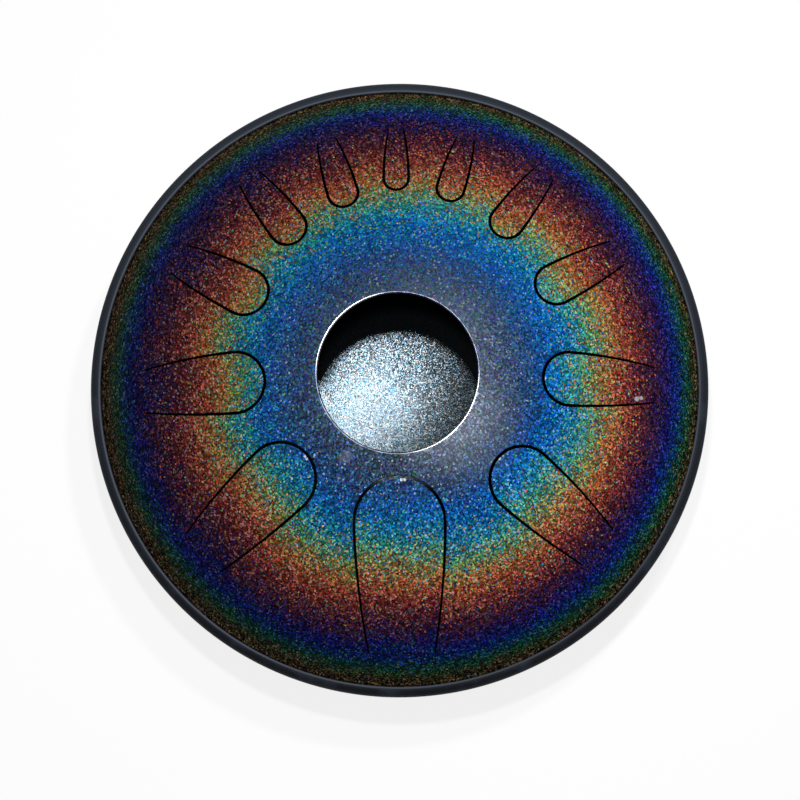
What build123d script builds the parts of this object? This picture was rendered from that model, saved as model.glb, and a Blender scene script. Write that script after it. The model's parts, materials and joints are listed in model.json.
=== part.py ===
from build123d import *
import os
from math import asin, cos, degrees, radians, sin, sqrt

os.makedirs("parts", exist_ok=True)

# Steel tongue drum, in millimetres. The origin is on the floor under the drum's axis, +Z is up,
# and the longest tongue lies towards -Y.

# Two pressed steel domes, joined at narrow flanges
sheet = 2.0
shell_radius = 143.0
crown_radius = 260.0
shoulder_radius = 80.0
shoulder_slope = 55.0
flange_bend = 2.0
flange_width = 2.4
bead_radius = 0.8
floor_gap = 5.0

# Sound hole in the upper dome
port_radius = 36.7
port_rounding = 0.7

# Tongues: the slits end on one circle, a margin inside the shell's edge, and leave a land round the
# sound hole. They are wider at the tip than at the root.
root_margin = 22.4
port_land = 11.3
widest_tip = 21.0
slit_at_tip = 1.4
slit_at_root = 0.8
flex_radius = 2.2
flex_gap = 0.05
side_bow_share = 5.0

# One entry for each tongue, from the lowest note to the highest. A slit's end is a share of the common
# circle's radius, a length is a share of the room between the land and that circle, a tip's radius is
# a share of the widest tip's, and a root is a share of its own tip's radius.
tongue_azimuths = (-89.2, 221.8, -40.2, 182.8, -1.3, 151.2, 30.2, 126.4, 54.9, 106.7, 74.5, 90.6)
slit_end_shares = (1.065, 1.017, 1.017, 1.0, 1.0, 0.993, 1.0, 1.0, 1.0, 1.0, 1.0, 1.0)
length_shares = (1.113, 0.92, 0.861, 0.817, 0.736, 0.683, 0.624, 0.583, 0.552, 0.514, 0.481, 0.449)
tip_shares = (1.0, 0.788, 0.728, 0.677, 0.59, 0.534, 0.458, 0.417, 0.378, 0.34, 0.309, 0.278)
root_shares = (0.753, 0.75, 0.736, 0.73, 0.708, 0.714, 0.711, 0.7, 0.711, 0.692, 0.707, 0.687)

# Rubber edging over the seam
lip_gap = 0.1
lip_land = 1.4
trim_height = 8.0
trim_back = 2.8
bead_room = 0.2

# Rubber feet and what fastens them
foot_count = 3
foot_turn = 90.0
foot_circle = 70.0
foot_radius = 13.0
foot_taper = 5.0
foot_rounding = 1.2
foot_pad = 6.0
seat_gap = 0.02
screw_radius = 2.0
screw_head_radius = 3.9
screw_head_height = 2.4
screw_head_rounding = 0.8
screw_tail = 1.0
cross_length = 4.4
cross_width = 1.0
cross_depth = 1.3
washer_radius = 4.5
washer_thickness = 0.8
nut_width = 7.0
nut_height = 3.2
hole_clearance = 0.25
nut_clearance = 0.05
recess_clearance = 0.4

# One overrun serves all cuts
overrun = 1.0

# Dome profile, measured from the plane between the flanges. The shoulder arc is tangent to the
# crown arc at crown_angle, and to the flange bend at slope.
slope = radians(shoulder_slope)
shoulder_centre_r = shell_radius - shoulder_radius * sin(slope)
shoulder_centre_z = sheet + flange_bend * (1 - cos(slope)) - shoulder_radius * cos(slope)
crown_angle = asin(shoulder_centre_r / (crown_radius - shoulder_radius))
crown_centre_z = shoulder_centre_z - (crown_radius - shoulder_radius) * cos(crown_angle)
flat_start = shell_radius + flange_bend * sin(slope)
flange_radius = flat_start + flange_width
apex_height = crown_centre_z + crown_radius
seam_height = apex_height + floor_gap
lower_crown_z = seam_height - crown_centre_z
slit_end_radius = shell_radius - root_margin
tongue_room = slit_end_radius - port_radius - port_land


def sheet_height(radius, depth):
    """Height over the seam of the upper dome's surface that lies a depth below its outside."""
    if radius < (crown_radius - depth) * sin(crown_angle):
        return crown_centre_z + sqrt((crown_radius - depth) ** 2 - radius**2)
    return shoulder_centre_z + sqrt((shoulder_radius - depth) ** 2 - (radius - shoulder_centre_r) ** 2)


def dome(plane, inner_radius):
    """Pressed dome with its flange, turned about the drum's axis, open inside inner_radius."""
    crown_turn = degrees(crown_angle)
    bend_centre = (flat_start, sheet + flange_bend)
    with BuildPart() as pressing:
        with BuildSketch(plane):
            with BuildLine():
                outer_turn = crown_turn - degrees(asin(inner_radius / crown_radius))
                inner_turn = crown_turn - degrees(asin(inner_radius / (crown_radius - sheet)))
                outside = CenterArc((0, crown_centre_z), crown_radius, 90 - crown_turn, outer_turn)
                inside = CenterArc((0, crown_centre_z), crown_radius - sheet, 90 - crown_turn, inner_turn)
                for depth in (0, sheet):
                    centre = (shoulder_centre_r, shoulder_centre_z)
                    turn = shoulder_slope - crown_turn
                    CenterArc(centre, shoulder_radius - depth, 90 - shoulder_slope, turn)
                    CenterArc(bend_centre, flange_bend + depth, 270 - shoulder_slope, shoulder_slope)
                Line(outside @ 1, inside @ 1)
                Polyline((flat_start, sheet), (flange_radius, sheet), (flange_radius, 0), (flat_start, 0))
            make_face()
        revolve(axis=Axis.Z)
    return pressing.part


class Tongue:
    """Place and outline of one tongue. Its frame has the hinge line as X and the tip along +Y."""

    def __init__(self, azimuth, end_share, length_share, tip_share, root_share):
        turn = radians(azimuth)
        slit_end = end_share * slit_end_radius
        slit_length = length_share * tongue_room
        self.axis_radius = slit_end - flex_radius
        self.reach = slit_length - flex_radius
        self.tip_radius = tip_share * widest_tip
        self.root_half = root_share * self.tip_radius
        self.outward = Vector(cos(turn), sin(turn), 0)
        self.hinge_line = Vector(-sin(turn), cos(turn), 0)
        hinge_height = seam_height + sheet_height(self.axis_radius, sheet / 2)
        self.hinge_point = self.outward * self.axis_radius + Vector(0, 0, hinge_height)

    def tool(self, tip_swell, root_swell, seat_radius):
        """Upright prism over the tongue's outline, swollen or shrunk, with the round root seat."""
        reach = self.reach + tip_swell
        tip_radius = self.tip_radius + tip_swell
        root_half = self.root_half + root_swell
        bow = side_bow_share * self.reach
        corner = Vector(root_half, 0)
        tip_centre = Vector(0, reach - tip_radius)
        # The side is an arc through the corner, tangent to the tip's circle from inside
        span = (tip_centre - corner).length
        along = (bow**2 - (bow - tip_radius) ** 2 + span**2) / (2 * span)
        across = sqrt(bow**2 - along**2)
        chord = (tip_centre - corner).normalized()
        bow_centre = corner + chord * along + chord.rotate(Axis.Z, 90) * across
        tangent = tip_centre + (tip_centre - bow_centre).normalized() * tip_radius
        halfway = (corner - bow_centre).normalized() + (tangent - bow_centre).normalized()
        middle = bow_centre + halfway.normalized() * bow
        plan = Plane(self.outward * self.axis_radius, x_dir=self.hinge_line, z_dir=(0, 0, 1))
        section = Plane(self.hinge_point, x_dir=self.outward, z_dir=self.hinge_line)
        with BuildPart() as prism:
            with BuildSketch(plan.offset(seam_height)):
                with BuildLine():
                    right = ThreePointArc(corner, middle, tangent)
                    tip = ThreePointArc(tangent, (0, reach), (-tangent.X, tangent.Y))
                    left = ThreePointArc(tip @ 1, (-middle.X, middle.Y), (-corner.X, corner.Y))
                    Line(left @ 1, right @ 0)
                make_face()
            extrude(amount=apex_height + overrun)
            with BuildSketch(section):
                Circle(seat_radius)
            extrude(amount=root_half, both=True)
        return prism.part


rows = zip(tongue_azimuths, slit_end_shares, length_shares, tip_shares, root_shares)
tongues = [Tongue(*row) for row in rows]
upper_plane = Plane((0, 0, seam_height), x_dir=(1, 0, 0), z_dir=(0, -1, 0))
lower_plane = Plane((0, 0, seam_height), x_dir=(1, 0, 0), z_dir=(0, 1, 0))
upper_dome = dome(upper_plane, port_radius)

# Upper shell: the sound hole has rounded rims, and each tongue has its opening
openings = [t.tool(slit_at_tip / 2, slit_at_root / 2, flex_radius + flex_gap) for t in tongues]
with BuildPart() as upper_shell:
    add(upper_dome)
    rims = upper_shell.edges().filter_by(Plane.XY).group_by(SortBy.RADIUS)[0]
    fillet(rims, radius=min(port_rounding, sheet / 2 - seat_gap))
    for opening in openings:
        add(opening, mode=Mode.SUBTRACT)
upper_shell.part.label = "upper_shell"
export_step(upper_shell.part, "parts/upper_shell.step")

# Tongues: the same sheet, a slit's width smaller than their openings
blanks = [t.tool(-slit_at_tip / 2, -slit_at_root / 2, flex_radius) for t in tongues]
for number, (tongue_place, blank) in enumerate(zip(tongues, blanks), start=1):
    name = f"tongue_{number:02d}"
    with BuildPart() as tongue:
        add(upper_dome)
        add(blank, mode=Mode.INTERSECT)
    tongue.part.label = name
    export_step(tongue.part, f"parts/{name}.step")
    print(name, "hinge at", tuple(tongue_place.hinge_point), "along", tuple(tongue_place.hinge_line))

# Feet stand square to the lower dome and are cut flat on the floor
foot_lean = asin(foot_circle / crown_radius)
foot_planes = []
for index in range(foot_count):
    turn = radians(foot_turn + index * 360 / foot_count)
    across = Vector(-sin(turn), cos(turn), 0)
    down = Vector(sin(foot_lean) * cos(turn), sin(foot_lean) * sin(turn), -cos(foot_lean))
    seat = Vector(0, 0, lower_crown_z) + down * crown_radius
    foot_planes.append(Plane(seat, x_dir=across, z_dir=down))

# Lower shell: a plain dome with a screw hole for each foot
lower_dome = dome(lower_plane, 0)
hole_radius = screw_radius + hole_clearance
with BuildPart() as lower_shell:
    add(lower_dome)
    for plane in foot_planes:
        with BuildSketch(plane.offset(overrun)):
            Circle(hole_radius)
        extrude(amount=-(sheet + 2 * overrun), mode=Mode.SUBTRACT)
lower_shell.part.label = "lower_shell"
export_step(lower_shell.part, "parts/lower_shell.step")

# Weld bead along the edges of the two flanges
with BuildPart() as seam_weld:
    with BuildSketch(upper_plane):
        with BuildLine():
            bead = CenterArc((flange_radius, 0), bead_radius, -90, 180)
            Line(bead @ 1, bead @ 0)
        make_face()
    revolve(axis=Axis.Z)
seam_weld.part.label = "seam_weld"
export_step(seam_weld.part, "parts/seam_weld.step")

# Rubber edging: a channel over the flanges, rounded outside, with a flat land on each lip
lip_radius = flat_start + lip_gap
channel_floor = flange_radius + bead_radius + bead_room
trim_radius = flange_radius + trim_back
trim_top = trim_height / 2
with BuildPart() as rim_trim:
    with BuildSketch(upper_plane):
        with BuildLine():
            land = lip_radius + lip_land
            ThreePointArc((land, trim_top), (trim_radius, 0), (land, -trim_top))
            Polyline(
                (land, -trim_top),
                (lip_radius, -trim_top),
                (lip_radius, -sheet),
                (channel_floor, -sheet),
                (channel_floor, sheet),
                (lip_radius, sheet),
                (lip_radius, trim_top),
                (land, trim_top),
            )
        make_face()
    revolve(axis=Axis.Z)
rim_trim.part.label = "rim_trim"
export_step(rim_trim.part, "parts/rim_trim.step")

# Rubber feet: tapered, hollowed to the dome, with a deep recess for the screw's head
foot_length = 2 * (seam_height - sheet_height(foot_circle, 0))
recess_radius = washer_radius + recess_clearance
for number, plane in enumerate(foot_planes, start=1):
    name = f"foot_{number}"
    with BuildPart() as foot:
        with BuildSketch(plane.offset(-overrun)):
            Circle(foot_radius)
        extrude(amount=foot_length, taper=foot_taper)
        with Locations((0, 0, lower_crown_z)):
            Sphere(crown_radius + seat_gap, mode=Mode.SUBTRACT)
        split(bisect_by=Plane.XY, keep=Keep.TOP)
        sole = foot.faces().sort_by(Axis.Z)[0]
        fillet(sole.edges(), radius=foot_rounding)
        with BuildSketch(plane.offset(foot_pad)):
            Circle(recess_radius)
        extrude(amount=foot_length, mode=Mode.SUBTRACT)
        with BuildSketch(plane.offset(-overrun)):
            Circle(hole_radius)
        extrude(amount=foot_pad + 2 * overrun, mode=Mode.SUBTRACT)
    foot.part.label = name
    export_step(foot.part, f"parts/{name}.step")

# Washers under the screw heads, on the floor of each recess
with BuildPart() as foot_washers:
    for plane in foot_planes:
        with BuildSketch(plane.offset(foot_pad)):
            Circle(washer_radius)
            Circle(hole_radius, mode=Mode.SUBTRACT)
        extrude(amount=washer_thickness)
foot_washers.part.label = "foot_washers"
export_step(foot_washers.part, "parts/foot_washers.step")

# Washers inside the drum touch the hollow of the dome with their rims
inner_crown = crown_radius - sheet
nut_washer_seat = crown_radius - sqrt(inner_crown**2 - washer_radius**2) + seat_gap
with BuildPart() as nut_washers:
    for plane in foot_planes:
        with BuildSketch(plane.offset(-nut_washer_seat)):
            Circle(washer_radius)
            Circle(hole_radius, mode=Mode.SUBTRACT)
        extrude(amount=-washer_thickness)
nut_washers.part.label = "nut_washers"
export_step(nut_washers.part, "parts/nut_washers.step")

# Hexagon nuts inside the drum
nut_seat = nut_washer_seat + washer_thickness
with BuildPart() as foot_nuts:
    for plane in foot_planes:
        with BuildSketch(plane.offset(-nut_seat)):
            RegularPolygon(nut_width / 2, side_count=6, major_radius=False)
            Circle(screw_radius + nut_clearance, mode=Mode.SUBTRACT)
        extrude(amount=-nut_height)
foot_nuts.part.label = "foot_nuts"
export_step(foot_nuts.part, "parts/foot_nuts.step")

# Cross-head screws from below, through foot, dome, washer and nut
head_seat = foot_pad + washer_thickness
screw_end = nut_seat + nut_height + screw_tail
with BuildPart() as foot_screws:
    for plane in foot_planes:
        with BuildSketch(plane.offset(head_seat)):
            Circle(screw_head_radius)
        extrude(amount=screw_head_height)
    domed = foot_screws.faces().filter_by(GeomType.PLANE).group_by(Axis.Z)[0]
    fillet(domed.edges(), radius=screw_head_rounding)
    for plane in foot_planes:
        with BuildSketch(plane.offset(head_seat + screw_head_height)):
            Rectangle(cross_length, cross_width)
            Rectangle(cross_width, cross_length)
        extrude(amount=-cross_depth, mode=Mode.SUBTRACT)
        with BuildSketch(plane.offset(head_seat)):
            Circle(screw_radius)
        extrude(amount=-(head_seat + screw_end))
foot_screws.part.label = "foot_screws"
export_step(foot_screws.part, "parts/foot_screws.step")
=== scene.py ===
import json
import bmesh
import bpy
import numpy as np
from mathutils import Matrix, Vector


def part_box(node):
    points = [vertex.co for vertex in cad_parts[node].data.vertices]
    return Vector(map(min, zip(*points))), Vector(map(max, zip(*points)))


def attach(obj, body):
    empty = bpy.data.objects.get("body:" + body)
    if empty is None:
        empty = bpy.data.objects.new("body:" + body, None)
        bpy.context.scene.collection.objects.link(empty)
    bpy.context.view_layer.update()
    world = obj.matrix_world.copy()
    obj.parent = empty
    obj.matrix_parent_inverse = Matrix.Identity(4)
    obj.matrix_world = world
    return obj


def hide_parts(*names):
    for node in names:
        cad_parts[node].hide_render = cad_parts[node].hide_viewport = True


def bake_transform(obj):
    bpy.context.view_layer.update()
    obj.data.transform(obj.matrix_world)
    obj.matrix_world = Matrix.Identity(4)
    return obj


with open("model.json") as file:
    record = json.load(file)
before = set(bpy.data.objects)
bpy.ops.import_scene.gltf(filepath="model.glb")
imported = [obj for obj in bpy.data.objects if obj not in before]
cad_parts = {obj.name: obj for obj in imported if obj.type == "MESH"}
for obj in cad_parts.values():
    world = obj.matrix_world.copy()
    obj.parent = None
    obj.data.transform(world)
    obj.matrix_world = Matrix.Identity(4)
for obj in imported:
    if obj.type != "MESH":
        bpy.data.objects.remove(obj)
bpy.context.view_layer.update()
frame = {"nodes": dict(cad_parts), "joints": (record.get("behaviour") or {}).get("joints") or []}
scene = bpy.context.scene
scene.view_settings.view_transform = "Standard"
mm = 0.001


# Camera, from where the drum lies in an image of 800 by 800 pixels
viewSetup = dict(
    tilt=6.17, lean=0.78,         # degrees off the drum's axis, towards -Y and +X
    distance=0.9, focalPixels=1854.0, imageSize=800.0,
    drumCentre=(399.0, 385.3),    # pixel where the seam's centre falls
)

trimLow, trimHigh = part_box("rim_trim")
seamZ = (trimLow.z + trimHigh.z) / 2 / mm
seamCentre = Vector((0, 0, seamZ * mm))


def addCamera(setup):
    # the camera looks down at the seam's centre and is then slid so that this centre falls on its pixel
    back = Vector((np.sin(np.radians(setup["lean"])), -np.sin(np.radians(setup["tilt"])), 0))
    back.z = np.sqrt(1 - back.length_squared)
    right = (Vector((1, 0, 0)) - back * back.x).normalized()
    up = back.cross(right)
    metresPerPixel = setup["distance"] / setup["focalPixels"]
    slideRight = (setup["imageSize"] / 2 - setup["drumCentre"][0]) * metresPerPixel
    slideUp = (setup["drumCentre"][1] - setup["imageSize"] / 2) * metresPerPixel
    lens = bpy.data.cameras.new("photoCamera")
    lens.lens = lens.sensor_width * setup["focalPixels"] / setup["imageSize"]
    camera = bpy.data.objects.new("photoCamera", lens)
    camera.location = seamCentre + back * setup["distance"] + right * slideRight + up * slideUp
    camera.rotation_mode = "QUATERNION"
    camera.rotation_quaternion = Matrix((right, up, back)).transposed().to_quaternion()
    scene.collection.objects.link(camera)
    scene.camera = camera


addCamera(viewSetup)
print("camera: lens", round(scene.camera.data.lens, 1), "mm")


# Shader maths: a wire is a socket, and arithmetic on wires adds Math nodes
class Wire:
    def __init__(self, tree, socket=None):
        self.tree = tree
        self.socket = socket

    # any other node: its settings come first, then a number or a wire for each socket
    def add(self, kind, settings=None, sockets=None, output=0):
        made = self.tree.nodes.new("ShaderNode" + kind)
        for key, value in (settings or {}).items():
            if key == "stops":
                ramp = made.color_ramp.elements
                while len(ramp) < len(value):
                    ramp.new(1.0)
                for stop, (place, colour) in zip(ramp, value):
                    stop.position = place
                    stop.color = colour
            else:
                setattr(made, key, value)
        for key, value in (sockets or {}).items():
            if isinstance(value, Wire):
                self.tree.links.new(value.socket, made.inputs[key])
            else:
                made.inputs[key].default_value = value
        return Wire(self.tree, made.outputs[output]) if made.outputs else None

    def also(self, name):
        return Wire(self.tree, self.socket.node.outputs[name])

    def math(self, operation, first, second=0.0):
        return self.add("Math", {"operation": operation}, {0: first, 1: second})

    def __add__(self, other):
        return self.math("ADD", self, other)

    def __sub__(self, other):
        return self.math("SUBTRACT", self, other)

    def __mul__(self, other):
        return self.math("MULTIPLY", self, other)

    def __truediv__(self, other):
        return self.math("DIVIDE", self, other)

    def __pow__(self, other):
        return self.math("POWER", self, other)

    def __gt__(self, other):
        return self.math("GREATER_THAN", self, other)

    def __radd__(self, other):
        return self.math("ADD", other, self)

    def __rsub__(self, other):
        return self.math("SUBTRACT", other, self)

    def __rmul__(self, other):
        return self.math("MULTIPLY", other, self)

    def __rtruediv__(self, other):
        return self.math("DIVIDE", other, self)

    # 0 below low, 1 above high, smooth between
    def step(self, low, high):
        settings = {"interpolation_type": "SMOOTHSTEP"}
        return self.add("MapRange", settings, {"Value": self, "From Min": low, "From Max": high})

    # colour a where the factor is 0, colour b where it is 1
    def mix(self, factor, a, b, blend="MIX"):
        settings = {"data_type": "RGBA", "blend_type": blend}
        return self.add("Mix", settings, {0: factor, 6: a, 7: b}, output=2)

    def vector(self, operation, first, second=(0, 0, 0), output=0):
        return self.add("VectorMath", {"operation": operation}, {0: first, 1: second}, output=output)

    # distance in millimetres from a point of the plan
    def planDistance(self, centre=(0, 0)):
        place = self.add("TexCoord", output="Object")
        offset = self.vector("SUBTRACT", place, (centre[0] * mm, centre[1] * mm, 0))
        return self.vector("LENGTH", self.vector("MULTIPLY", offset, (1, 1, 0)), output="Value") / mm


def paint(red, green, blue):
    # a colour as it looks on screen, 0 to 255, as linear light
    share = np.array([red, green, blue]) / 255
    linear = np.where(share <= 0.04045, share / 12.92, ((share + 0.055) / 1.055) ** 2.4)
    return (*linear.tolist(), 1.0)


def newMaterial(name):
    material = bpy.data.materials.new(name)
    material.use_nodes = True
    material.node_tree.nodes.clear()
    return material, Wire(material.node_tree)


def finishMaterial(wire, surface):
    wire.add("OutputMaterial", None, {"Surface": surface})


# Glitter lacquer: rings of colour round the sound hole, broken up into flakes
lacquerLook = dict(
    innerCentre=(5.3, -2.2), outerCentre=(1.7, 0.3),  # middle of the inner and of the outer rings, mm
    centreMoves=(100.0, 126.0),     # radii between which the one gives way to the other, mm
    ringStart=36.0, ringEnd=148.0,  # radii where the ramp starts and ends, mm
    flakeSize=0.7,                  # mm
    scatter=9.0, wildScatter=22.0,  # how far a flake's colour strays along the radius, mm
    scatterLoss=0.7, scatterFades=(114.0, 134.0),
    darkFlake=0.31, flakeRange=1.8, flakePower=2.0,  # a flake's level: few are bright
    grit=0.9, gritFades=(116.0, 138.0),  # flakes stand out more on the steep shoulder
    hueStray=0.42,                  # how far each colour of a flake strays, as a share
    sideReach=1000.0,               # painted light: the flakes are lighter towards two points that far from the axis, mm
    paintedLightSide=(970.0, -240.0), paintedLightGain=0.0025,
    shoulderLightSide=(300.0, 954.0), shoulderLightGain=0.0028, shoulderLightFades=(120.0, 146.0),  # on the shoulder only
    # the brightest flakes of the green and red rings are pale
    pale=0.22, paleFrom=(0.8, 1.0), paleRises=(70.0, 84.0), paleLoss=0.85, paleFades=(94.0, 126.0),
    paleColour=(230, 202, 196),
    # painted glints: a few of the brightest flakes turn near-white
    sparkleFrom=0.975, sparkle=0.27, sparkleLoss=0.75, sparkleFades=(68.0, 122.0),
    # near the hole there are flakes of any colour
    motley=0.52, motleyLoss=0.9, motleyFades=(44.0, 78.0), motleyColour=(92, 120, 142),
    # painted highlight: a pale patch beside the sound hole, towards the lower right
    paintedHighlight=0.2, highlightCentre=(27.0, -23.0), highlightFades=(2.0, 36.0), highlightColour=(192, 200, 214),
    tilt=0.14, roughness=0.45, metallic=0.3,
    coat=0.14, coatFades=(44.0, 84.0), coatRoughness=0.35,
    grooveShade=0.85, grooveShadeFades=(143.4, 144.3),  # painted shadow: a dark line beside the edging
    rings=(
        # radius in mm, colour: grey blue, blue, green, gold, red, violet, blue, green and brown
        (37, (56, 70, 94)), (46.5, (42, 62, 94)), (52.5, (28, 58, 102)), (58.5, (12, 66, 128)),
        (65, (3, 83, 164)), (71.5, (3, 98, 176)), (77, (14, 121, 165)), (82.5, (34, 142, 135)),
        (86.5, (76, 150, 102)), (90.5, (122, 143, 74)), (94, (163, 122, 56)), (97.5, (173, 93, 49)),
        (102.5, (154, 65, 45)), (107.5, (122, 46, 41)), (112.5, (85, 31, 40)), (117, (61, 27, 45)),
        (122, (44, 20, 58)), (126.8, (18, 14, 94)), (130.5, (0, 26, 108)), (133.5, (0, 48, 84)),
        (136.2, (0, 64, 46)), (138.8, (20, 60, 26)), (141.2, (60, 56, 32)), (144, (92, 72, 50)),
    ),
    chipsAndGlints=(                         # x, y and size in mm, strength: the first two a chip, the third a smudge, the others painted glints on tongue tips
        (111.9, -9.8, 1.5, 0.75), (114.1, -9.3, 1.2, 0.75), (-23.9, -38.8, 3.4, 0.1),
        (1.9, -49.1, 0.9, 1.0), (3.3, -49.1, 0.9, 1.0), (-42.4, -38.3, 0.8, 0.9),
        (-41.5, -39.6, 0.8, 0.8), (46.8, -39.3, 0.9, 0.9), (67.9, -2.1, 0.7, 0.9),
    ),
    chipAndGlintColour=(206, 208, 212), chipAndGlintCore=0.5,
)


def flakes(wire, size):
    # one random colour for each cell of that size, in millimetres
    place = wire.add("TexCoord", output="Object")
    sockets = {"Vector": place, "Scale": 1 / (size * mm)}
    return wire.add("TexVoronoi", {"feature": "F1"}, sockets, output="Color")


def clouds(wire, size, detail):
    # soft noise with patches of that size, in millimetres
    place = wire.add("TexCoord", output="Object")
    return wire.add("TexNoise", None, {"Vector": place, "Scale": 1 / (size * mm), "Detail": detail})


def flakeNormal(wire, cells, tilt, shift=(0, 0, 0)):
    # the surface's normal, leaning a random way in each flake and the same way in all
    lean = wire.vector("SUBTRACT", cells, (0.5, 0.5, 0.5))
    lean = wire.vector("ADD", wire.vector("MULTIPLY", lean, (2 * tilt,) * 3), shift)
    bare = wire.add("NewGeometry", output="Normal")
    return wire.vector("NORMALIZE", wire.vector("ADD", bare, lean))


def glitterLacquer(name, look):
    material, wire = newMaterial(name)
    cells = flakes(wire, look["flakeSize"])
    red = wire.add("SeparateColor", None, {"Color": cells}, output="Red")
    shine = red.also("Green")
    radius = wire.planDistance()
    # most flakes stray a little from the colour of their ring, and a few a lot
    stray = red + red.also("Blue") - 1
    stray = stray * (look["scatter"] + look["wildScatter"] * (stray * stray))
    stray = stray * (1 - look["scatterLoss"] * radius.step(*look["scatterFades"]))
    # the inner rings lie further off the drum's axis than the outer ones
    inner, outer = wire.planDistance(look["innerCentre"]), wire.planDistance(look["outerCentre"])
    ringRadius = inner + (outer - inner) * radius.step(*look["centreMoves"])
    start, span = look["ringStart"], look["ringEnd"] - look["ringStart"]
    stops = [((place - start) / span, paint(*colour)) for place, colour in look["rings"]]
    # a tongue that has sunk shows the colours of rings further out
    sunk = wire.add("Attribute", {"attribute_name": "sunk"}, output="Fac")
    ring = wire.add("ValToRGB", {"stops": stops}, {"Fac": (ringRadius + sunk + stray - start) / span})
    # each flake has a tint of its own, and few are bright
    hues = wire.add("TexWhiteNoise", {"noise_dimensions": "3D"}, {"Vector": cells}, output="Color")
    gain = wire.vector("MULTIPLY", hues, (2 * look["hueStray"],) * 3)
    ring = wire.mix(1.0, ring, wire.vector("ADD", gain, (1 - look["hueStray"],) * 3), "MULTIPLY")
    level = look["darkFlake"] + look["flakeRange"] * shine ** look["flakePower"]
    level = level ** (1 + look["grit"] * radius.step(*look["gritFades"]))
    # painted light: the flakes grow lighter towards one side, and on the shoulder towards another
    level = level * (1 + look["paintedLightGain"] * (look["sideReach"] - wire.planDistance(look["paintedLightSide"])))
    clear = look["shoulderLightGain"] * (look["sideReach"] - wire.planDistance(look["shoulderLightSide"]))
    level = level * (1 + clear * radius.step(*look["shoulderLightFades"]))
    base = wire.mix(1.0, ring, level, "MULTIPLY")
    motley = look["motley"] * (1 - look["motleyLoss"] * radius.step(*look["motleyFades"]))
    anyColour = wire.mix(1.0, hues, paint(*look["motleyColour"]), "MULTIPLY")
    base = wire.mix(motley * shine, base, anyColour)
    pale = look["pale"] * shine.step(*look["paleFrom"]) * radius.step(*look["paleRises"])
    pale = pale * (1 - look["paleLoss"] * radius.step(*look["paleFades"]))
    base = wire.mix(pale, base, paint(*look["paleColour"]))
    # painted highlight: the flakes turn pale round a point beside the sound hole
    paintedHighlight = look["paintedHighlight"] * (1 - wire.planDistance(look["highlightCentre"]).step(*look["highlightFades"]))
    base = wire.mix(paintedHighlight, base, paint(*look["highlightColour"]))
    # painted glints: a few flakes are mixed towards near-white
    sparkle = look["sparkle"] * (1 - look["sparkleLoss"] * radius.step(*look["sparkleFades"]))
    base = wire.mix((shine > look["sparkleFrom"]) * sparkle, base, paint(*look["chipAndGlintColour"]))
    # painted shadow: the lacquer turns dark next to the edging's lip
    base = wire.mix(look["grooveShade"] * radius.step(*look["grooveShadeFades"]), base, (0, 0, 0, 1))
    # a chip and a smudge, and painted glints on the tips of the tongues
    for x, y, size, strength in look["chipsAndGlints"]:
        worn = 1 - wire.planDistance((x, y)).step(look["chipAndGlintCore"] * size, size)
        base = wire.mix(worn * strength, base, paint(*look["chipAndGlintColour"]))
    coat = look["coat"] * (1 - radius.step(*look["coatFades"]))
    shader = wire.add("BsdfPrincipled", None, {
        "Base Color": base, "Roughness": look["roughness"], "Metallic": look["metallic"],
        "Specular IOR Level": 0.0, "Coat Weight": coat, "Coat Roughness": look["coatRoughness"],
        "Normal": flakeNormal(wire, cells, look["tilt"])})
    finishMaterial(wire, shader)
    return material


# Inside of the drum: the same flakes over silver, with no rings
insideLook = dict(
    flakeSize=0.45, tilt=0.08, shift=(-0.022, 0.012, 0), roughness=0.25, darkFlake=0.053, flakeRange=0.144,
    lightPoolAt=(-12.0, -5.0), lightPoolLoss=0.48, lightPoolFades=(10.0, 44.0),  # centre of a painted pool of light on the floor inside, mm
    # painted shade: beyond these radii, mm, the floor inside is dark and not metallic
    shadedFloorFades=(41.0, 50.0), bare=(20, 21, 24),
    tints=((0.0, (110, 194, 224)), (0.35, (172, 204, 227)), (0.7, (222, 211, 189)), (1.0, (158, 183, 232))),
)


def silverGlitter(look):
    material, wire = newMaterial("silverGlitter")
    cells = flakes(wire, look["flakeSize"])
    hue = wire.add("TexWhiteNoise", {"noise_dimensions": "3D"}, {"Vector": cells}, output="Value")
    shine = wire.add("SeparateColor", None, {"Color": cells}, output="Green")
    stops = [(place, paint(*colour)) for place, colour in look["tints"]]
    tint = wire.add("ValToRGB", {"stops": stops}, {"Fac": hue})
    # painted pool of light: the flakes are lighter round one point of the floor and darker away from it
    level = look["darkFlake"] + look["flakeRange"] * shine
    level = level * (1 - look["lightPoolLoss"] * wire.planDistance(look["lightPoolAt"]).step(*look["lightPoolFades"]))
    base = wire.mix(1.0, tint, level, "MULTIPLY")
    # painted shade: outside that radius the floor inside is dark and not metallic
    bare = wire.planDistance().step(*look["shadedFloorFades"])
    shader = wire.add("BsdfPrincipled", None, {
        "Base Color": wire.mix(bare, base, paint(*look["bare"])), "Metallic": 1 - bare,
        "Roughness": look["roughness"], "Specular IOR Level": 0.0,
        "Normal": flakeNormal(wire, cells, look["tilt"], look["shift"])})
    finishMaterial(wire, shader)
    return material


# Dark primer on the unseen side of the upper dome and on the walls of its slits; its darkness is painted
# shade inside the drum and in the slits
shadePrimerLook = dict(colour=(20, 21, 24), patch=(32, 32, 34), patchSize=9.0, patchDetail=5.0,
                  patchFrom=(0.4, 0.7), roughness=0.6, roughRange=0.2)


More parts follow.
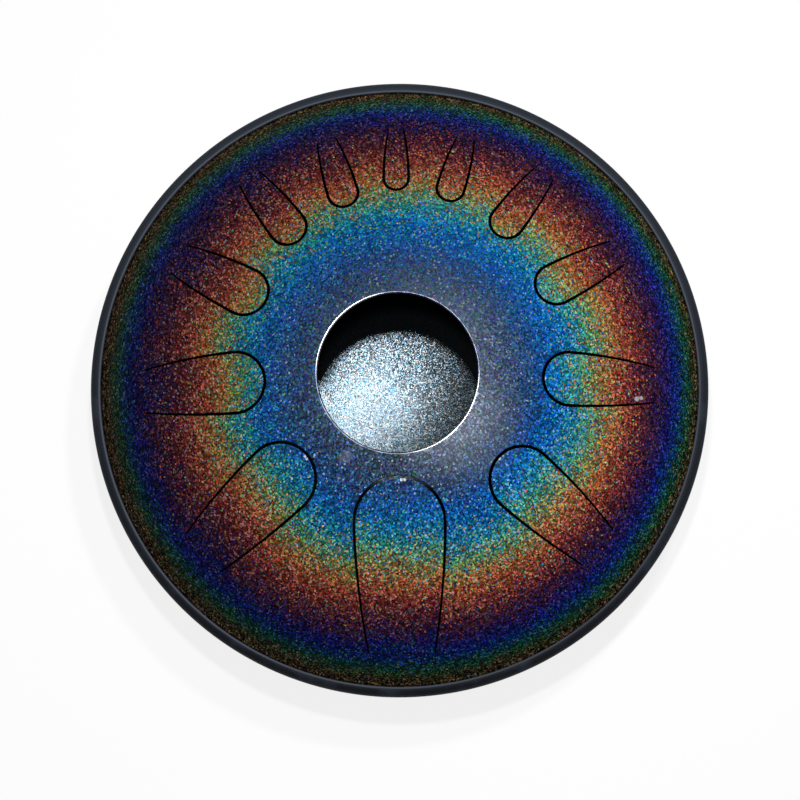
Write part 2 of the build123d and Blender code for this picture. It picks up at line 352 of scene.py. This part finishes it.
def makeShadePrimer(look):
    material, wire = newMaterial("shadePrimer")
    cloud = clouds(wire, look["patchSize"], look["patchDetail"])
    base = wire.mix(cloud.step(*look["patchFrom"]), paint(*look["colour"]), paint(*look["patch"]))
    shader = wire.add("BsdfPrincipled", None, {
        "Base Color": base, "Roughness": look["roughness"] + look["roughRange"] * cloud})
    finishMaterial(wire, shader)
    return material


# Polished rim of the sound hole, where the lacquer is thin over the steel
edgeLook = dict(colour=(84, 90, 106),
                worn=(60, 66, 84), wornSize=3.0, wornDetail=4.0, wornFrom=(0.4, 0.65),
                # painted highlight: the rim turns near-white round two points on opposite sides
                paintedGlint=(236, 238, 246), glintAt=((28.0, -23.6), (-28.0, 23.6)), glintFades=(6.0, 30.0),
                metallic=0.9, roughness=0.26, roughRange=0.15)


def polishedEdge(look):
    material, wire = newMaterial("polishedEdge")
    cloud = clouds(wire, look["wornSize"], look["wornDetail"])
    base = wire.mix(cloud.step(*look["wornFrom"]), paint(*look["colour"]), paint(*look["worn"]))
    # painted highlight: near-white round two points of the rim
    for place in look["glintAt"]:
        paintedGlint = 1 - wire.planDistance(place).step(*look["glintFades"])
        base = wire.mix(paintedGlint, base, paint(*look["paintedGlint"]))
    shader = wire.add("BsdfPrincipled", None, {
        "Base Color": base, "Metallic": look["metallic"],
        "Roughness": look["roughness"] + look["roughRange"] * cloud})
    finishMaterial(wire, shader)
    return material


# Rubber of the edging and the feet: dark, with a fine grain and a trace of dust; the edging also has
# painted light on its inner lip and on its far side
trimLook = dict(colour=(20, 23, 29), dust=(76, 84, 98), grain=0.35, roughness=0.52, specular=0.12,
                # painted light on the inner lip and the far side
                litLipInside=(145.2, 145.9), lipShadeAt=(110.0, -110.0), lipShadeFades=(-260.0, 240.0),
                paintedFarSideLight=0.27, shadedSideAt=(0.0, -146.0), farSideLightFades=(60.0, 330.0))
footLook = dict(colour=(38, 38, 40), dust=(62, 62, 62), grain=0.5, roughness=0.7, specular=0.5,
                litLipInside=None)
rubberDust = dict(cloudSize=18.0, cloudDetail=4.0, cloudFrom=(0.45, 0.75), cloudShare=0.3,
                  grainDetail=2.0, grainFrom=(0.55, 0.8), grainShare=0.2,
                  roughRange=0.12, bump=0.15, bumpHeight=0.05)


def rubber(name, look):
    material, wire = newMaterial(name)
    dust = rubberDust
    grain = clouds(wire, look["grain"], dust["grainDetail"])
    cloud = clouds(wire, dust["cloudSize"], dust["cloudDetail"])
    dustAndLight = cloud.step(*dust["cloudFrom"]) * dust["cloudShare"]
    dustAndLight = dustAndLight + grain.step(*dust["grainFrom"]) * dust["grainShare"]
    if look["litLipInside"]:
        # painted light: the inner lip is lighter, less so towards the lower right, and the rubber is
        # lighter on its far side
        lip = 1 - wire.planDistance().step(*look["litLipInside"])
        lip = lip * wire.planDistance(look["lipShadeAt"]).step(*look["lipShadeFades"])
        dustAndLight = wire.math("MAXIMUM", dustAndLight, lip)
        paintedFarSideLight = look["paintedFarSideLight"] * wire.planDistance(look["shadedSideAt"]).step(*look["farSideLightFades"])
        dustAndLight = wire.math("MAXIMUM", dustAndLight, paintedFarSideLight)
    bumps = wire.add("Bump", None, {
        "Strength": dust["bump"], "Distance": dust["bumpHeight"] * mm, "Height": grain})
    shader = wire.add("BsdfPrincipled", None, {
        "Base Color": wire.mix(dustAndLight, paint(*look["colour"]), paint(*look["dust"])),
        "Roughness": look["roughness"] + dust["roughRange"] * cloud, "Specular IOR Level": look["specular"],
        "Normal": bumps})
    finishMaterial(wire, shader)
    return material


# Metal that hardly shows: plated fasteners, and the weld under the edging
zincLook = dict(colour=(196, 198, 202), dull=(138, 140, 142), roughness=0.32)
weldLook = dict(colour=(150, 146, 140), dull=(84, 78, 74), roughness=0.5)
metalStain = dict(size=2.5, detail=5.0, starts=(0.4, 0.7), roughRange=0.2)


def bareMetal(name, look):
    material, wire = newMaterial(name)
    stain = clouds(wire, metalStain["size"], metalStain["detail"]).step(*metalStain["starts"])
    shader = wire.add("BsdfPrincipled", None, {
        "Base Color": wire.mix(stain, paint(*look["colour"]), paint(*look["dull"])),
        "Metallic": 1.0, "Roughness": look["roughness"] + metalStain["roughRange"] * stain})
    finishMaterial(wire, shader)
    return material


lacquer = glitterLacquer("glitterLacquer", lacquerLook)
underLacquer = glitterLacquer("underLacquer", dict(lacquerLook, chipsAndGlints=(), paintedHighlight=0.0))
silver = silverGlitter(insideLook)
shadePrimer = makeShadePrimer(shadePrimerLook)
rimSteel = polishedEdge(edgeLook)
trimRubber = rubber("trimRubber", trimLook)
footRubber = rubber("footRubber", footLook)
zincSteel = bareMetal("zincSteel", zincLook)
weldMetal = bareMetal("weldMetal", weldLook)
print("materials:", len(bpy.data.materials))


# Meshes: grids of points, in millimetres over the seam, become closed skins
skins = dict(sharp=40.0, weld=0.002)  # degrees from which an edge is sharp, reach of the welding in mm


def gridFaces(rows, columns, closed):
    # quads of a grid numbered row by row; a closed grid joins its last column to its first
    row = np.arange(rows - 1)[:, None] * columns
    here = np.arange(columns if closed else columns - 1)[None, :]
    there = (here + 1) % columns
    corners = [row + here, row + there, row + columns + there, row + columns + here]
    return np.stack(corners, -1).reshape(-1, 4)


def addPiece(name, sheets, materials):
    # each sheet is (points, closed, flipped, material of each row of quads); touching sheets are welded
    points, faces, slots, start = [], [], [], 0
    for grid, closed, flipped, rowSlots in sheets:
        rows, columns = grid.shape[:2]
        quads = gridFaces(rows, columns, closed)
        points.append(grid.reshape(-1, 3))
        faces.append((quads[:, ::-1] if flipped else quads) + start)
        slots.append(np.repeat(np.broadcast_to(rowSlots, rows - 1), len(quads) // (rows - 1)))
        start += rows * columns
    points = (np.concatenate(points) + (0, 0, seamZ)) * mm
    mesh = bpy.data.meshes.new(name)
    mesh.from_pydata(points.tolist(), [], np.concatenate(faces).tolist())
    mesh.polygons.foreach_set("material_index", np.concatenate(slots).astype(np.int32))
    for material in materials:
        mesh.materials.append(material)
    work = bmesh.new()
    work.from_mesh(mesh)
    bmesh.ops.remove_doubles(work, verts=work.verts, dist=skins["weld"] * mm)
    work.to_mesh(mesh)
    work.free()
    mesh.polygons.foreach_set("use_smooth", np.ones(len(mesh.polygons), dtype=bool))
    mesh.set_sharp_from_angle(angle=np.radians(skins["sharp"]))
    mesh.update()
    piece = bpy.data.objects.new(name, mesh)
    scene.collection.objects.link(piece)
    return piece


def turned(profile, azimuths):
    # a profile of (radius, height) carried round the drum's axis
    radius, height = profile[:, 0, None], profile[:, 1, None]
    turn = azimuths[None, :]
    return np.stack([radius * np.cos(turn), radius * np.sin(turn), height + 0 * turn], -1)


def arc(centre, radius, start, end, count):
    # points of an arc in a plane, its angles in degrees from the plane's first direction
    turn = np.radians(np.linspace(start, end, count))
    return np.stack([centre[0] + radius * np.cos(turn), centre[1] + radius * np.sin(turn)], -1)


# Pressed domes, in millimetres
dome = dict(sheet=2.0, shellRadius=143.0, crownRadius=260.0, shoulderRadius=80.0, shoulderSlope=55.0,
            flangeBend=2.0, flangeWidth=2.4, portRadius=36.7, portRounding=0.7, bowRows=14, bendRows=9)

sheet = dome["sheet"]
slope = np.radians(dome["shoulderSlope"])
shoulderR = dome["shellRadius"] - dome["shoulderRadius"] * np.sin(slope)
shoulderZ = sheet + dome["flangeBend"] * (1 - np.cos(slope)) - dome["shoulderRadius"] * np.cos(slope)
crownAngle = np.arcsin(shoulderR / (dome["crownRadius"] - dome["shoulderRadius"]))
crownZ = shoulderZ - (dome["crownRadius"] - dome["shoulderRadius"]) * np.cos(crownAngle)
flatStart = dome["shellRadius"] + dome["flangeBend"] * np.sin(slope)
flangeRadius = flatStart + dome["flangeWidth"]


def domeHeight(radius, depth):
    # crown arc in the middle and shoulder arc outside it, both a depth below the outer face
    crown = dome["crownRadius"] - depth
    shoulder = dome["shoulderRadius"] - depth
    inner = crownZ + np.sqrt(np.maximum(crown**2 - radius**2, 0))
    outer = shoulderZ + np.sqrt(np.maximum(shoulder**2 - (radius - shoulderR) ** 2, 0))
    return np.where(radius < crown * np.sin(crownAngle), inner, outer)


def rimProfile(startRadius):
    # from startRadius on the inside, out to the flange, round its edge, and back to startRadius outside
    depths = {}
    for depth in (0.0, sheet):
        radius = dome["shoulderRadius"] - depth
        first = np.degrees(np.arccos((startRadius - shoulderR) / radius))
        bow = arc((shoulderR, shoulderZ), radius, first, 90 - dome["shoulderSlope"], dome["bowRows"])
        bendCentre = (flatStart, sheet + dome["flangeBend"])
        bendStart = 270 - dome["shoulderSlope"]
        bend = arc(bendCentre, dome["flangeBend"] + depth, bendStart, 270, dome["bendRows"])
        depths[depth] = np.concatenate([bow, bend[1:]])
    edge = np.array([(flangeRadius, 0.0), (flangeRadius, sheet)])
    return np.concatenate([depths[sheet], edge, depths[0.0][::-1]])


# Tongues: their places come from the joints, their outlines are shares as on the drum
tonguePlan = dict(
    rootMargin=22.4, portLand=11.3, widestTip=21.0, flexRadius=2.2, slitAtTip=1.4, slitAtRoot=0.8,
    sideBowShare=5.0, edgeRound=0.2, edgeFade=6.0,
    lengthShares=(1.113, 0.92, 0.861, 0.817, 0.736, 0.683, 0.624, 0.583, 0.552, 0.514, 0.481, 0.449),
    tipShares=(1.0, 0.788, 0.728, 0.677, 0.59, 0.534, 0.458, 0.417, 0.378, 0.34, 0.309, 0.278),
    rootShares=(0.753, 0.75, 0.736, 0.73, 0.708, 0.714, 0.711, 0.7, 0.711, 0.692, 0.707, 0.687),
    sunk=(5.5, 5.5, 5.0, 7.0, 5.5, 7.5, 5.5, 5.5, 6.5, 4.5, 3.5, 3.0),  # shift of the rings, mm
    sunkAtRoot=0.6,               # share of it that is left at the root
    rootCount=24, sideCount=40, tipCount=40, roundCount=5)

tongueRoom = dome["shellRadius"] - tonguePlan["rootMargin"] - dome["portRadius"] - tonguePlan["portLand"]


def petal(index, swellShare):
    # outline of a tongue in (across, towards the axis), anticlockwise from the left root corner: the line
    # where the slit ends, a side arc tangent to the tip's circle from inside, the tip's arc and the other
    # side. The hinge is at 0. The outline is swollen by that share of half the slit's width.
    plan = tonguePlan
    tipSwell = swellShare * plan["slitAtTip"] / 2
    length = plan["lengthShares"][index] * tongueRoom - plan["flexRadius"]
    tipRadius = plan["tipShares"][index] * plan["widestTip"]
    rootHalf = plan["rootShares"][index] * tipRadius + swellShare * plan["slitAtRoot"] / 2
    bow = plan["sideBowShare"] * length
    reach, tipRadius = length + tipSwell, tipRadius + tipSwell
    corner, tipCentre = np.array([rootHalf, 0.0]), np.array([0.0, reach - tipRadius])
    span = np.linalg.norm(tipCentre - corner)
    along = (bow**2 - (bow - tipRadius) ** 2 + span**2) / (2 * span)
    chord = (tipCentre - corner) / span
    bowCentre = corner + chord * along + np.array([-chord[1], chord[0]]) * np.sqrt(bow**2 - along**2)
    first = -np.degrees(np.arcsin((plan["flexRadius"] + bowCentre[1]) / bow))
    last = np.degrees(np.arctan2(*(tipCentre - bowCentre)[::-1]))
    side = arc(bowCentre, bow, first, last, plan["sideCount"] + 1)
    tip = arc(tipCentre, tipRadius, last, 180 - last, plan["tipCount"] + 1)
    rootLine = np.linspace(-side[0, 0], side[0, 0], plan["rootCount"] + 1)
    root = np.stack([rootLine, np.full_like(rootLine, -plan["flexRadius"])], -1)
    return np.concatenate([root[:-1], side[:-1], tip[:-1], (side * (-1, 1))[:0:-1]])


def outwards(loop):
    # plan normals of a closed anticlockwise outline
    along = np.roll(loop, -1, 0) - np.roll(loop, 1, 0)
    along /= np.linalg.norm(along, axis=-1, keepdims=True)
    return np.stack([along[:, 1], -along[:, 0]], -1)


def edgeRounding(loop):
    # the slits' rounded edges fade out towards the root line
    share = np.clip((loop[:, 1] + tonguePlan["flexRadius"]) / tonguePlan["edgeFade"], 0, 1)
    return tonguePlan["edgeRound"] * share * share * (3 - 2 * share)


def joint(index):
    return frame["joints"][index]


def toPlan(index, local):
    # from a tongue's own frame to the drum's plan
    hinge = np.array(joint(index)["axis"][:2])
    outward = np.array([hinge[1], -hinge[0]])
    origin = np.array(joint(index)["pos_m"][:2]) / mm
    return origin + local[..., :1] * hinge - local[..., 1:] * outward


def onDome(plan, depth, drop=0.0):
    # lifts plan points to the dome's sheet
    radius = np.hypot(plan[..., 0], plan[..., 1])
    return np.concatenate([plan, (domeHeight(radius, depth) - drop)[..., None]], -1)


roundTurns = np.radians(np.linspace(0, 90, tonguePlan["roundCount"] + 1))[1:]


# Upper shell: one patch round each tongue's opening, a collar at the sound hole and the shoulder
shellPlan = dict(collarRadius=44.0, shoulderStart=133.0, topRows=12, underRows=6, crowding=1.7,
                 holeRows=9, holeUnderRows=7, collarRows=6, collarUnderRows=5)


def azimuth(index):
    # direction of a tongue's hinge from the drum's axis, in plan
    x, y = joint(index)["pos_m"][:2]
    return np.arctan2(y, x)


# each tongue has a sector of the dome, which ends halfway to its neighbours
order = sorted(range(len(frame["joints"])), key=azimuth)
middles = np.unwrap([azimuth(index) for index in order])
sectorEdges = (middles + np.roll(middles, 1)) / 2
sectorEdges[0] -= np.pi
sectorEdges = np.append(sectorEdges, sectorEdges[0] + 2 * np.pi)


def sectorTurns(count):
    # azimuths of that many steps in each sector
    steps = [np.linspace(low, high, count + 1)[:-1] for low, high in zip(sectorEdges[:-1], sectorEdges[1:])]
    return np.concatenate(steps)


def sectorLoop(low, high):
    # outline of a sector: outer arc, line inwards, inner arc back, line outwards
    plan = tonguePlan
    far, near = shellPlan["shoulderStart"], shellPlan["collarRadius"]
    turns = [np.linspace(low, high, plan["rootCount"] + 1)[:-1], np.full(plan["sideCount"], high),
             np.linspace(high, low, plan["tipCount"] + 1)[:-1], np.full(plan["sideCount"], low)]
    line = np.linspace(far, near, plan["sideCount"] + 1)
    radii = [np.full(plan["rootCount"], far), line[:-1], np.full(plan["tipCount"], near), line[:0:-1]]
    turn, radius = np.concatenate(turns), np.concatenate(radii)
    return np.stack([radius * np.cos(turn), radius * np.sin(turn)], -1)


def shellPatch(index, low, high):
    # rows run from the sector's outline in to the opening, over its rounded edge, down its wall and back
    local = petal(index, 1.0)
    edge = edgeRounding(local)[:, None]
    opening, border = toPlan(index, local), sectorLoop(low, high)
    normal = toPlan(index, local + outwards(local)) - opening
    lip = opening + normal * edge
    rows = []
    for share in np.linspace(1, 0, shellPlan["topRows"]) ** shellPlan["crowding"]:
        rows.append(onDome(lip + (border - lip) * share, 0.0))
    for turn in roundTurns:
        rounded = opening + normal * edge * (1 - np.sin(turn))
        rows.append(onDome(rounded, 0.0, edge[:, 0] * (1 - np.cos(turn))))
    for share in np.linspace(0, 1, shellPlan["underRows"]) ** shellPlan["crowding"]:
        rows.append(onDome(opening + (border - opening) * share, sheet))
    lacquered = shellPlan["topRows"] - 1 + len(roundTurns)
    return np.array(rows), True, False, np.array([0] * lacquered + [1] * shellPlan["underRows"])


def portProfile():
    # from the collar's radius in to the sound hole, round its two rims, and back underneath
    bevel, hole = dome["portRounding"], dome["portRadius"]
    centreR = hole + bevel
    upper = dome["crownRadius"] - bevel
    lower = dome["crownRadius"] - sheet + bevel
    lean = [np.degrees(np.arcsin(centreR / size)) for size in (upper, lower)]
    topCentre = (centreR, crownZ + np.sqrt(upper**2 - centreR**2))
    underCentre = (centreR, crownZ + np.sqrt(lower**2 - centreR**2))
    top = arc(topCentre, bevel, 90 - lean[0], 180, shellPlan["holeRows"])
    under = arc(underCentre, bevel, 180, 270 - lean[1], shellPlan["holeUnderRows"])
    run = np.linspace(shellPlan["collarRadius"], top[0, 0], shellPlan["collarRows"])[:-1]
    back = np.linspace(under[-1, 0], shellPlan["collarRadius"], shellPlan["collarUnderRows"])[1:]
    profile = np.concatenate([np.stack([run, domeHeight(run, 0.0)], -1), top, under,
                              np.stack([back, domeHeight(back, sheet)], -1)])
    slots = np.array([0] * len(run) + [2] * len(top) + [1] * (len(under) + len(back) - 1))
    return profile, slots


def upperShell():
    sheets = [shellPatch(index, sectorEdges[n], sectorEdges[n + 1]) for n, index in enumerate(order)]
    collar, collarSlots = portProfile()
    sheets.append((turned(collar, sectorTurns(tonguePlan["tipCount"])), True, False, collarSlots))
    rim = rimProfile(shellPlan["shoulderStart"])
    inner = len(rim) // 2
    rimSlots = np.array([1] * inner + [0] * (len(rim) - 1 - inner))
    sheets.append((turned(rim, sectorTurns(tonguePlan["rootCount"])), True, False, rimSlots))
    piece = addPiece("upperShell", sheets, [lacquer, shadePrimer, rimSteel])
    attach(piece, "drum")
    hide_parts("upper_shell")
    return piece


# Tongue skins: rows run from the spine out to the edge, over it, down the wall and back under to the spine
skinPlan = dict(spineShare=0.62, rows=9, crowding=1.6, bendShare=0.4)


def markSunk(mesh, start, inwards, index):
    # a sunken tongue shifts the rings by its value halfway along, less at its root and more at its tip
    points = np.empty(3 * len(mesh.vertices))
    mesh.vertices.foreach_get("co", points)
    share = np.clip((points.reshape(-1, 3) - start) @ inwards, 0, 1)
    low = tonguePlan["sunkAtRoot"]
    layer = mesh.attributes.new("sunk", "FLOAT", "POINT")
    layer.data.foreach_set("value", tonguePlan["sunk"][index] * (low + 2 * (1 - low) * share))


def tongueSkin(index):
    loop = petal(index, -1.0)
    # from the right root corner round the tip to the left one
    sides = np.append(np.arange(tonguePlan["rootCount"], len(loop)), 0)
    local, normal = loop[sides], outwards(loop)[sides]
    edge = edgeRounding(local)[:, None]
    low, reach = local[0, 1], local[:, 1].max()
    tipRadius = tonguePlan["tipShares"][index] * tonguePlan["widestTip"]
    spineLength = reach - skinPlan["spineShare"] * tipRadius - low
    spine = np.stack([0 * local[:, 0], low + (local[:, 1] - low) * spineLength / (reach - low)], -1)
    lip = local - normal * edge
    shares = 1 - np.linspace(1, 0, skinPlan["rows"]) ** skinPlan["crowding"]
    rows = [onDome(toPlan(index, spine + (lip - spine) * share), 0.0) for share in shares]
    for turn in roundTurns:
        rounded = toPlan(index, local - normal * edge * (1 - np.sin(turn)))
        rows.append(onDome(rounded, 0.0, edge[:, 0] * (1 - np.cos(turn))))
    rows += [onDome(toPlan(index, spine + (local - spine) * share), sheet) for share in shares[::-1]]
    grid = np.array(rows)
    lacquered = skinPlan["rows"] - 1 + len(roundTurns)
    slots = np.array([0] * lacquered + [1] * skinPlan["rows"])
    # the root's wall goes from the right corner over the spine to the left one, top and bottom
    top, under = grid[:skinPlan["rows"]], grid[-skinPlan["rows"]:]
    wallTop = np.concatenate([top[::-1, 0], top[1:, -1]])
    wall = np.array([wallTop, np.concatenate([under[:, 0], under[-2::-1, -1]])])
    name = joint(index)["child"]
    sheets = [(grid, False, True, slots), (wall, False, False, np.array([1]))]
    piece = addPiece(name + "_skin", sheets, [lacquer, shadePrimer])
    hinge = np.array(joint(index)["axis"])
    outward = np.array([hinge[1], -hinge[0], 0])
    start = np.array(joint(index)["pos_m"])
    markSunk(piece.data, start, -outward / (reach * mm), index)
    end = start - outward * reach * skinPlan["bendShare"] * mm
    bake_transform(piece)
    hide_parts(name)
    return piece


# Lower shell: the same dome upside down, with no openings that show
lowerPlan = dict(rows=56, turns=288)


def lowerShell():
    run = np.linspace(0, shellPlan["shoulderStart"], lowerPlan["rows"])[:-1]
    rim = rimProfile(shellPlan["shoulderStart"])
    profile = np.concatenate([np.stack([run, domeHeight(run, sheet)], -1), rim,
                              np.stack([run[::-1], domeHeight(run[::-1], 0.0)], -1)])
    turn = np.linspace(0, 2 * np.pi, lowerPlan["turns"] + 1)[:-1]
    grid = turned(profile * (1, -1), turn)
    inner = len(run) + len(rim) // 2
    slots = np.array([1] * inner + [0] * (len(profile) - 1 - inner))
    piece = addPiece("lowerShell", [(grid, True, True, slots)], [underLacquer, silver])
    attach(piece, "drum")
    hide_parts("lower_shell")
    return piece


# Rubber edging: a channel over the flanges, with a flat land on each lip and a rounded back
edging = dict(lipGap=0.1, lipLand=1.4, height=8.0, back=2.8, beadRoom=1.0, lipRound=0.35, flangeGap=0.02,
              backRows=17, lipRows=6, turns=432)


def rimTrim():
    lip = flatStart + edging["lipGap"]
    land, top = lip + edging["lipLand"], edging["height"] / 2
    far = flangeRadius + edging["back"]
    bulge = far - land
    radius = (top**2 + bulge**2) / (2 * bulge)
    reach = np.degrees(np.arctan2(top, land - far + radius))
    bevel = edging["lipRound"]
    channel = flangeRadius + edging["beadRoom"]
    roof = sheet + edging["flangeGap"]
    outerBow = arc((far - radius, 0), radius, 0, reach, edging["backRows"])
    upperLip = arc((lip + bevel, top - bevel), bevel, 90, 180, edging["lipRows"])
    half = np.concatenate([outerBow, [(land - bevel, top)], upperLip,
                           [(lip, roof), (channel, roof), (channel, 0)]])
    profile = np.concatenate([half, (half * (1, -1))[-2::-1]])
    turn = np.linspace(0, 2 * np.pi, edging["turns"] + 1)[:-1]
    piece = addPiece("rimTrim", [(turned(profile, turn), True, False, np.array([0]))], [trimRubber])
    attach(piece, "drum")
    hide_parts("rim_trim")
    return piece


def describe(piece):
    triangles = sum(len(face.vertices) - 2 for face in piece.data.polygons)
    print(piece.name, len(piece.data.vertices), "points,", triangles, "triangles")


describe(upperShell())
for number in range(len(frame["joints"])):
    describe(tongueSkin(number))
describe(lowerShell())
describe(rimTrim())


# Pieces that stay as built get their finishes
finishes = {footRubber: ("foot_1", "foot_2", "foot_3"),
            zincSteel: ("foot_screws", "foot_washers", "nut_washers", "foot_nuts"),
            weldMetal: ("seam_weld",)}
for material, names in finishes.items():
    for name in names:
        mesh = frame["nodes"][name].data
        mesh.materials.clear()
        mesh.materials.append(material)
print("finishes set")


# Stage, in metres: a pale floor that keeps the drum's shadow, a dim room and two small lamps overhead
stageLook = dict(floorRadius=30.0, floorTurns=96, floorDrop=0.0002, diffuse=0.2, glow=0.84, room=0.12)
lamps = (
    dict(name="overheadLamp", place=(0.008, 0.071, 0.86), level=0.52, size=0.036),
    dict(name="sideLamp", place=(0.159, 0.235, 0.86), level=0.34, size=0.06),
)


def addFloor(look):
    material, wire = newMaterial("paleFloor")
    rays = wire.add("LightPath", output="Is Camera Ray")
    shiny = wire.math("MAXIMUM", rays.also("Is Glossy Ray"), rays.also("Is Transmission Ray"))
    seen = wire.math("MAXIMUM", rays, shiny)
    matt = wire.add("BsdfDiffuse", None, {"Color": (look["diffuse"],) * 3 + (1,)})
    glow = wire.add("Emission", None, {"Color": (1, 1, 1, 1), "Strength": seen * look["glow"]})
    both = wire.add("AddShader", None, {0: matt, 1: glow})
    behind = wire.add("NewGeometry", output="Backfacing")
    clear = wire.add("BsdfTransparent")
    finishMaterial(wire, wire.add("MixShader", None, {0: behind, 1: both, 2: clear}))
    turn = np.linspace(0, 2 * np.pi, look["floorTurns"] + 1)[:-1]
    ring = np.stack([np.cos(turn), np.sin(turn), 0 * turn], -1) * look["floorRadius"]
    mesh = bpy.data.meshes.new("paleFloor")
    mesh.from_pydata((ring - (0, 0, look["floorDrop"])).tolist(), [], [list(range(len(turn)))])
    mesh.materials.append(material)
    floor = bpy.data.objects.new("paleFloor", mesh)
    scene.collection.objects.link(floor)


def addLamp(setup):
    # a disk's power that lights a level white surface under it at that level
    place = Vector(setup["place"])
    aim = seamCentre - place
    light = bpy.data.lights.new(setup["name"], "AREA")
    light.shape = "DISK"
    light.size = setup["size"]
    light.energy = setup["level"] * np.pi**2 * aim.length**2
    lamp = bpy.data.objects.new(setup["name"], light)
    lamp.location = place
    lamp.rotation_mode = "QUATERNION"
    lamp.rotation_quaternion = aim.to_track_quat("-Z", "Y")
    lamp.visible_camera = False
    scene.collection.objects.link(lamp)


def addRoom(look):
    world = bpy.data.worlds.new("dimRoom")
    scene.world = world
    world.use_nodes = True
    world.node_tree.nodes.clear()
    wire = Wire(world.node_tree)
    shade = wire.add("Background", None, {"Color": (1, 1, 1, 1), "Strength": look["room"]})
    wire.add("OutputWorld", None, {"Surface": shade})


addFloor(stageLook)
addRoom(stageLook)
for setup in lamps:
    addLamp(setup)
print("stage: floor, room and", len(lamps), "lamps")
